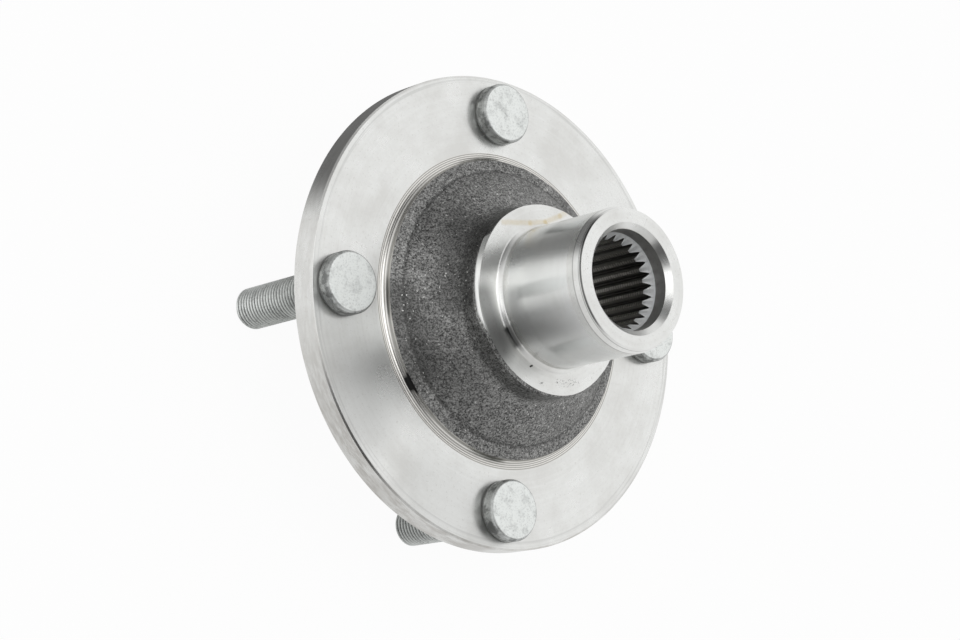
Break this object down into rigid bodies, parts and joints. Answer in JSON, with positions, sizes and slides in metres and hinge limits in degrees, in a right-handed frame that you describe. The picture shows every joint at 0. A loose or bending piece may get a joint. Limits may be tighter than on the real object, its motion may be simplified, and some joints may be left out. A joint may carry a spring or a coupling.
{
  "type": "wheel hub",
  "caption": "Front wheel hub: round flange with pressed-in studs, dished forged web, bearing journal and an internally splined bore for the drive shaft.",
  "frame": {"origin": "on the hub's axis, in the flange face that the brake disc seats on, which is the plane of the wheel_studs mount", "axes": "+Z along the hub's axis towards the journal's nose (inboard on the car); +X through the first wheel stud"},
  "size_m": [0.136, 0.136, 0.0942],
  "materials": {
    "hub_steel": "turned bright all over, apart from the dark, rough forged web",
    "stud_steel": "dull grey-green zinc flake coating"
  },
  "bodies": {
    "root": {"wheel_hub": "hub_steel", "wheel_stud_1": "stud_steel", "wheel_stud_2": "stud_steel", "wheel_stud_3": "stud_steel", "wheel_stud_4": "stud_steel"}
  },
  "joints": []
}
